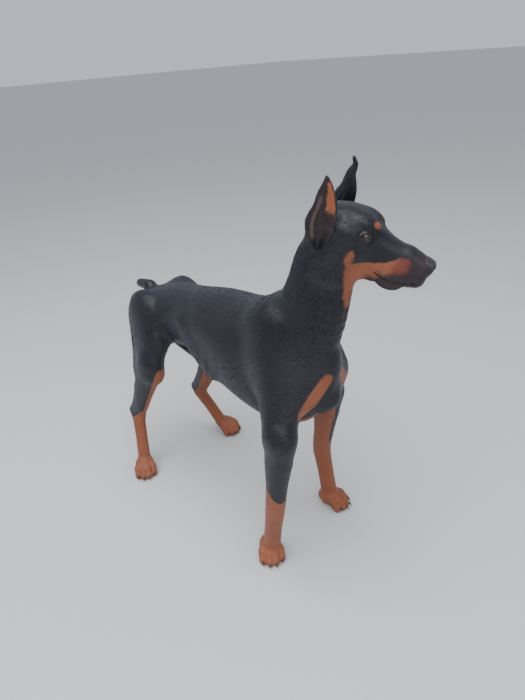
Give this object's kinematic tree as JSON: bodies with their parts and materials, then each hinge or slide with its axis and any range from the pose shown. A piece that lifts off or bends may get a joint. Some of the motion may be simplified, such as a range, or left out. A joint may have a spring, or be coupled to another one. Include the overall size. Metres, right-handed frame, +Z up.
{
  "type": "doberman pinscher dog",
  "caption": "Life-size standing short-coated dog with cropped upright ears and a docked tail, head turned to its left; a still display model.",
  "frame": {"origin": "on the floor, under the middle of the dog's bounding box", "axes": "+X along the body towards the chest, +Y to the dog's left, +Z up"},
  "size_m": [0.9264, 0.3994, 0.9792],
  "materials": {
    "coat_black": "short flat glossy black fur",
    "coat_rust": "short flat rust-red fur",
    "nose_leather": "moist pebbled nose leather, satin",
    "eye": "wet dark brown eye",
    "claw": "dark horn, satin"
  },
  "bodies": {
    "root": {"torso": "coat_black", "neck": "coat_black", "tail": "coat_black", "leg_front_right": "coat_black", "paw_front_right": "coat_rust", "claw_front_right_1": "claw", "claw_front_right_2": "claw", "claw_front_right_3": "claw", "claw_front_right_4": "claw", "leg_front_left": "coat_black", "paw_front_left": "coat_rust", "claw_front_left_1": "claw", "claw_front_left_2": "claw", "claw_front_left_3": "claw", "claw_front_left_4": "claw", "leg_hind_right": "coat_black", "paw_hind_right": "coat_rust", "claw_hind_right_1": "claw", "claw_hind_right_2": "claw", "claw_hind_right_3": "claw", "claw_hind_right_4": "claw", "leg_hind_left": "coat_black", "paw_hind_left": "coat_rust", "claw_hind_left_1": "claw", "claw_hind_left_2": "claw", "claw_hind_left_3": "claw", "claw_hind_left_4": "claw", "head": "coat_black", "nose": "nose_leather", "eye_right": "eye", "eye_left": "eye", "ear_right": "coat_black", "ear_left": "coat_black"}
  },
  "joints": []
}
